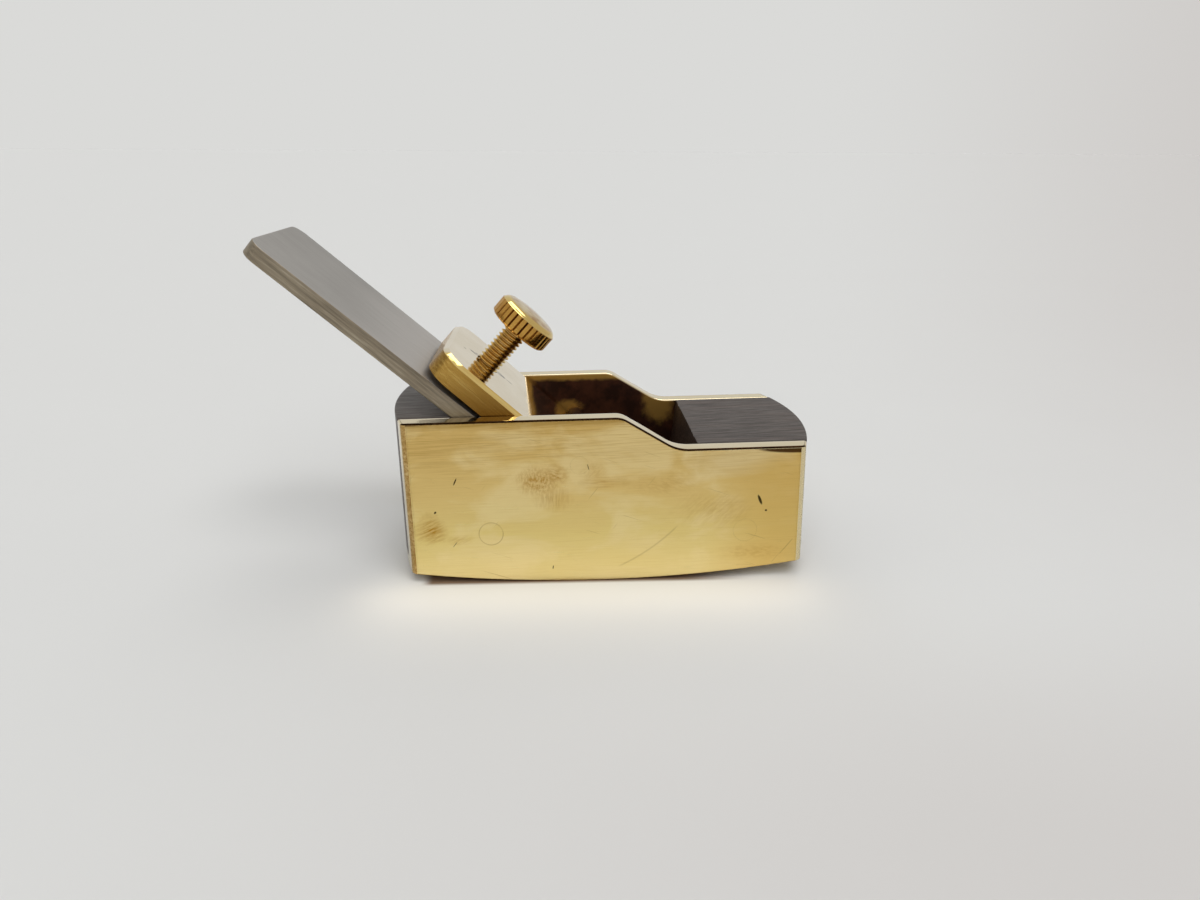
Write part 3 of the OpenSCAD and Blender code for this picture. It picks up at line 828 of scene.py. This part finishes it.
# Thumbscrew stud: brass rod with a cut M4 thread, 0.7 mm to the turn, right-handed. Its lower end
# is turned to a low dome that bears on the blade.
def turned_brass(name, metal, root, strength, roughness):
    """Brass as it leaves the lathe and has been fingered since: gold, with a painted reflection
    that makes the dome's top pale, and brown tarnish left in the roots of the thread and knurl."""
    material, shader, add = new_material(name)
    colour = add("ValToRGB", mottle(add, 0.5), stops=[(0.35, metal[0]), (0.65, metal[1])])
    # The shoulder, below the dome's pale top, is the brightest gold.
    outwards = facing(add, out_of_cap)
    shoulder, painted_pale_dome = mask(add, (outwards, 0.45, 0.55)), mask(add, (outwards, 0.9, 0.98))
    colour = tint(add, colour, "DCC078", shoulder)
    # Painted reflection: the dome's top is a pale, mottled beige, for the white surround it
    # mirrors.
    pale_reflection_tones = [(0.38, "D8C69E"), (0.5, "CAB286"), (0.62, "B28C54")]
    colour = tint(add, colour, add("ValToRGB", mottle(add, 0.45, 4, 0.6), stops=pale_reflection_tones), painted_pale_dome)
    # Dark tarnish gathers in the roots, found by how closed-in the surface is.
    hollow = add("AmbientOcclusion", out="AO", Distance=0.5 * mm, samples=8, only_local=True)
    colour = tint(add, colour, root, [hollow, (0.3, 1.0), (0.8, 0.0)], strength)
    smear = mottle(add, 1.2, 3, 0.6)
    dull = add("ValToRGB", smear, stops=[(0.3, roughness), (0.7, roughness + 0.1)])
    polish = add("ValToRGB", smear, stops=[(0.3, 0.08), (0.7, 0.2)])
    rough = tint(add, tint(add, dull, 0.12, shoulder), polish, painted_pale_dome)
    bump = add("Bump", Strength=0.15, Distance=0.01 * mm, Height=mottle(add, 3.0, 3, 0.6))
    feed(shader, Base_Color=colour, Metallic=1.0, Roughness=rough, Normal=bump)
    return material


screw_axis = pin_axis + down_cap * screw_x
thread_pitch = 0.7 * mm
thread_r = 2.0 * mm
core_r = thread_r - 0.61 * thread_pitch
stud_low, stud_top = -5.45 * mm, 6.78 * mm
spigot_end = stud_top + 2.2 * mm
thread_turns = 16
thread_low = stud_top - thread_turns * thread_pitch

thread = start_piece(
    "thumbscrew_thread", bpy.ops.mesh.primitive_plane_add, size=1, location=(0, 0, 0)
)
root_r = core_r - 0.05 * mm
corners = (
    (root_r, 0.02 * thread_pitch),
    (thread_r, 0.44 * thread_pitch),
    (thread_r, 0.56 * thread_pitch),
    (root_r, 0.98 * thread_pitch),
)
for v, (r, z) in zip((thread.data.vertices[i] for i in (0, 1, 3, 2)), corners):
    v.co = (r, 0, thread_low + z)
set_mode("EDIT")
bpy.ops.mesh.select_all(action="SELECT")
bpy.ops.mesh.delete(type="ONLY_FACE")
set_mode("OBJECT")
winding = thread.modifiers.new("winding", "SCREW")
winding.axis = "Z"
winding.angle = math.tau
winding.screw_offset = thread_pitch
winding.iterations = thread_turns - 1
winding.steps = winding.render_steps = 48
winding.use_smooth_shade = False
bpy.ops.object.modifier_apply(modifier="winding")
set_mode("EDIT")
bpy.ops.mesh.select_all(action="DESELECT")
bpy.ops.mesh.select_non_manifold()
bpy.ops.mesh.edge_face_add()
point_outwards()


def draw_up(rings):
    """In edit mode, draws the selected ring up and in or out from the first (radius, height) given
    to the last, round the Z axis."""
    for (r0, z0), (r, z) in zip(rings, rings[1:]):
        bpy.ops.mesh.extrude_region_move(TRANSFORM_OT_translate={"value": (0, 0, z - z0)})
        bpy.ops.transform.resize(value=(r / r0, r / r0, 1), center_override=(0, 0, z))


# The solid rod inside the thread: a circle drawn up ring by ring.
rod_rings = (
    (core_r * 0.4, stud_low),
    (core_r * 0.75, stud_low + 0.06 * mm),
    (core_r, stud_low + 0.16 * mm),
    (core_r, spigot_end),
)
bpy.ops.mesh.select_all(action="DESELECT")
bpy.ops.mesh.primitive_circle_add(
    vertices=64, radius=rod_rings[0][0], fill_type="NGON", location=(0, 0, stud_low)
)
draw_up(rod_rings)
point_outwards()
set_mode("OBJECT")
bpy.ops.object.shade_smooth_by_angle(angle=math.radians(30))
stand_in_place(thread, screw_axis, cap_angle)
thread_brass = turned_brass("brass_cut_thread", ("DAB062", "EACC86"), "7C4414", 0.68, 0.18)
thread.data.materials.append(thread_brass)
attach(thread, "screw_stud")
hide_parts("thumbscrew_shank")


# Thumbscrew knob: turned brass, a low dome over a band cut with straight grooves so that fingers
# can grip it, bored underneath and fixed on the stud's plain end.
knob_r = 5.2 * mm
knob_low = stud_top + 0.05 * mm
knob_h = 2.9 * mm
knob_rim = 0.3 * mm
groove_count = 32
groove_depth = 0.34 * mm
points_per_groove = 12
groove_share = 0.34
bore_r, bore_h = 1.46 * mm, 2.3 * mm
dome_edge = knob_r - 0.12 * mm


def dome_ring(lean):
    """Radius and height where the dome leans by so many degrees. A shoulder of small radius turns
    up from the rim to 12 degrees, and a low crown closes the top."""
    shoulder_r = 1.5 * mm
    if lean >= 12:
        inwards = math.sin(math.radians(60)) - math.sin(math.radians(lean))
        upwards = math.cos(math.radians(lean)) - math.cos(math.radians(60))
        return dome_edge - shoulder_r * inwards, knob_h + shoulder_r * upwards
    crown_edge, crown_low = dome_ring(12)
    crown_r = crown_edge / math.sin(math.radians(12))
    rise = crown_r * (math.cos(math.radians(lean)) - math.cos(math.radians(12)))
    return crown_r * math.sin(math.radians(lean)), crown_low + rise


rings = [
    (bore_r, 0.0),
    (knob_r - knob_rim - 0.1 * mm, 0.0),
    (knob_r - 0.08 * mm, knob_rim * 0.8),
    (knob_r, knob_rim * 1.3),
    (knob_r, knob_h * 0.5),
    (knob_r, knob_h - 0.16 * mm),
    (knob_r - 0.04 * mm, knob_h - 0.05 * mm),
]
rings += [dome_ring(lean) for lean in (60, 54, 48, 42, 36, 30, 24, 18, 12, 10, 8, 6, 4, 2)]

bore = {"vertices": groove_count * points_per_groove, "radius": bore_r, "fill_type": "NOTHING"}
knob = start_piece("thumbscrew_head", bpy.ops.mesh.primitive_circle_add, **bore)
set_mode("EDIT")
bpy.ops.mesh.select_all(action="SELECT")
# The bore: up inside and closed at its end.
bpy.ops.mesh.extrude_region_move(TRANSFORM_OT_translate={"value": (0, 0, bore_h)})
bpy.ops.mesh.edge_face_add()
bpy.ops.mesh.select_all(action="DESELECT")
select_edges(knob, lambda a, b: max(a.z, b.z) < 1e-7)
draw_up(rings)
bpy.ops.mesh.merge(type="CENTER")
mesh = bmesh.from_edit_mesh(knob.data)
for v in mesh.verts:
    r = math.hypot(v.co.x, v.co.y)
    if r > knob_r - knob_rim - 0.02 * mm and v.co.z < knob_h - 0.1 * mm:
        # Each groove takes a third of its share of the rim. They were cut by eye, so some are
        # shallower.
        turn = math.atan2(v.co.y, v.co.x) / math.tau * groove_count
        off = abs(turn - round(turn)) * 2
        cut = groove_depth * (0.85 + 0.15 * math.sin(2.4 * (round(turn) % groove_count)))
        depth = cut * max(0.0, 1 - (off / groove_share) ** 2)
        keep = min(1.0, (knob_r - depth) / r)
        v.co.x, v.co.y = v.co.x * keep, v.co.y * keep
    if r < 1e-6 and v.co.z > knob_h:
        v.co.z = dome_ring(0)[1]
bmesh.update_edit_mesh(knob.data)
point_outwards()
set_mode("OBJECT")
bpy.ops.object.shade_smooth_by_angle(angle=math.radians(32))
knob.data.transform(Matrix.Translation((0, 0, knob_low)))
stand_in_place(knob, screw_axis, cap_angle)
knob.data.materials.append(turned_brass("brass_knurled", ("B6863E", "CA9C4E"), "4E240A", 0.85, 0.2))
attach(knob, "screw_knob")
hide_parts("thumbscrew_knob")


# Studio: a wide pale table that runs on to a backdrop of its own tone, an even sky, and soft
# lamps. The plane stands tipped back on its curved sole, so the table touches it a little behind
# the body's middle.
contact_x = -4.4 * mm
rest_slope = math.asin(contact_x / sole_r)
contact = Vector((body_mid_x + contact_x, 0, sole_z(contact_x)))
table_r = 40.0
paper, paper_shade = "DADAD8", "CBC7C4"


def table_paper():
    """Smooth card, matt, with a faint mottle."""
    material, shader, add = new_material("table_card")
    plain = in_mm(add)
    along, across = (add("SeparateXYZ", plain, out=axis) for axis in "XY")
    far = add("VectorMath", plain, operation="LENGTH")
    # Painted shade: the card is a little darker to the right, as the backdrop is, and a painted
    # shadow darkens it in front, as of someone standing there. Its mottle stops where it would only
    # shimmer.
    rightwards = add("Math", along, add("Math", far, 150.0, operation="ADD"), operation="DIVIDE")
    painted_shadow_in_front = mask(add, (along, -80.0, 70.0), 0.85, (across, -20.0, -80.0), (far, 250.0, 110.0))
    painted_shade = add("Math", painted_shadow_in_front, mask(add, (rightwards, 0.25, 0.75)), operation="ADD")
    card = tint(add, paper, paper_shade, painted_shade)
    fleck = add("ValToRGB", mottle(add, 0.02), stops=[(0.3, "D8D8D6"), (0.7, "DCDCDA")])
    card = tint(add, card, fleck, (far, 300.0, 100.0), 0.2)
    # Painted shadow: under the plane, and for 1 mm beside it, the card is a warm brown, for the
    # shade there and the light the brass throws into it.
    aside = add("Math", across, operation="ABSOLUTE")
    warm_bounce_shade = mask(add, (aside, 17.2, 16.0), 0.9, (along, 34.0, 20.0))
    card = tint(add, card, "6C4E2A", warm_bounce_shade, (from_middle(add), 29.5, 27.5))
    feed(shader, Base_Color=card, Roughness=0.95, Specular_IOR_Level=0.0)
    return material


round_card = {"vertices": 64, "radius": table_r, "fill_type": "NGON", "location": (0, 0, 0)}
table = start_piece("table_top", bpy.ops.mesh.primitive_circle_add, **round_card)
table.data.transform(Matrix.Translation(contact) @ Matrix.Rotation(-rest_slope, 4, "Y"))
table.data.materials.append(table_paper())

# What the camera and the metal see beyond the table is the backdrop's own tone. As a lamp the
# surround is weaker than it looks, because most of the light comes from above.
surround_light = 0.355
world = bpy.data.worlds.new("studio_surround")
bpy.context.scene.world = world
world.use_nodes = True
add = functools.partial(node, world.node_tree)
looks = ("Is Camera Ray", "Is Glossy Ray", "Is Transmission Ray")
looked_at = most(add, [add("LightPath", out=look) for look in looks])
rightwards = add("SeparateXYZ", add("TexCoord", out="Generated"), out="X")
# Painted shade: the backdrop darkens to the right.
tone = tint(add, paper, paper_shade, (rightwards, 0.25, 0.75))
backdrop = world.node_tree.nodes["Background"]
feed(backdrop, Color=tint(add, surround_light, tone, looked_at), Strength=1.0)

# A long white card hangs overhead, where only the metal sees it: it is the white glint on the
# lever cap's near corner and on the knob's shoulder.
card_w, card_glow = 0.26, 3.2
card_from, card_to = Vector((0.44, -0.12, 0.78)), Vector((-0.03, 0.44, 0.76))
along = (card_to - card_from).normalized()
aside = along.cross(card_from + card_to).normalized()
card_turn = Matrix((aside, along, aside.cross(along))).transposed().to_4x4()
card_size = Matrix.Diagonal((card_w, (card_to - card_from).length, 1, 1))
card = start_piece("white_card", bpy.ops.mesh.primitive_plane_add, size=1, location=(0, 0, 0))
card.data.transform(Matrix.Translation((card_from + card_to) / 2) @ card_turn @ card_size)
lit_card, shader, _ = new_material("card_white_lit")
feed(shader, Base_Color="E8E8E6", Emission_Color="FFFFFF", Emission_Strength=card_glow)
card.data.materials.append(lit_card)
card.visible_camera = card.visible_diffuse = card.visible_shadow = card.visible_transmission = False


def soft_lamp(name, toward, share, spread, seen_in_metal):
    """A distant soft lamp: where it stands, its share of the table's light, how wide it looks, and
    whether the metal mirrors it."""
    toward = Vector(toward).normalized()
    lamp_data = bpy.data.lights.new(name, "SUN")
    lamp_data.energy = share * math.pi / toward.z
    lamp_data.angle = math.radians(spread)
    lamp = bpy.data.objects.new(name, lamp_data)
    lamp.rotation_euler = toward.to_track_quat("Z", "Y").to_euler()
    lamp.visible_glossy = seen_in_metal
    bpy.context.scene.collection.objects.link(lamp)


soft_lamp("lamp_front", (0.0, -0.7, 0.7), 0.312, 50, False)
soft_lamp("lamp_behind", (0.0, 0.6, 0.75), 0.138, 50, False)
soft_lamp("lamp_overhead", (0.18, 0.2, 0.96), 0.06, 24, True)
soft_lamp("lamp_front_right", (0.33, -0.38, 0.86), 0.135, 20, False)

# The cheek throws a warm bright patch on the table in front of it. Three strip lamps close over
# the table draw that patch: length, width, spread, place in front of the body, height, strength.
strips = (
    (66, 9, 24, 24.5, 34, 0.00014),
    (68, 5, 70, 19.5, 14, 0.00043),
    (66, 14, 60, 26.0, 26, 0.00054),
)
for number, (length, width, spread, forward, up, power) in enumerate(strips):
    strip_data = bpy.data.lights.new("strip_lamp_%d" % number, "AREA")
    strip_data.shape = "RECTANGLE"
    strip_data.size, strip_data.size_y = length * mm, width * mm
    strip_data.spread = math.radians(spread)
    strip_data.energy = power
    strip_data.color = (1.0, 0.9, 0.73)
    strip = bpy.data.objects.new("strip_lamp_%d" % number, strip_data)
    strip.location = (body_mid_x - 3.2 * mm, -forward * mm, up * mm)
    strip.visible_camera = strip.visible_glossy = False
    bpy.context.scene.collection.objects.link(strip)


# Camera: where the photograph was taken from, above the near cheek and close to the plane, as a
# phone held over a table.
eye = Vector((2.146, -147.175, 64.667)) * mm
look_right = Vector((0.99855475, -0.05145031, -0.01553317))
look_up = Vector((0.03078471, 0.31065599, 0.95002377))
look_ahead = Vector((0.04405354, 0.94912893, -0.31179089))
camera_data = bpy.data.cameras.new("photo_camera")
camera_data.sensor_width = 36
camera_data.lens = 27.53
camera_data.clip_start = 0.005
camera = bpy.data.objects.new("photo_camera", camera_data)
camera_turn = Matrix((look_right, look_up, -look_ahead)).transposed().to_4x4()
camera.matrix_world = Matrix.Translation(eye) @ camera_turn
bpy.context.scene.collection.objects.link(camera)
bpy.context.scene.camera = camera
bpy.context.scene.view_settings.view_transform = "Standard"
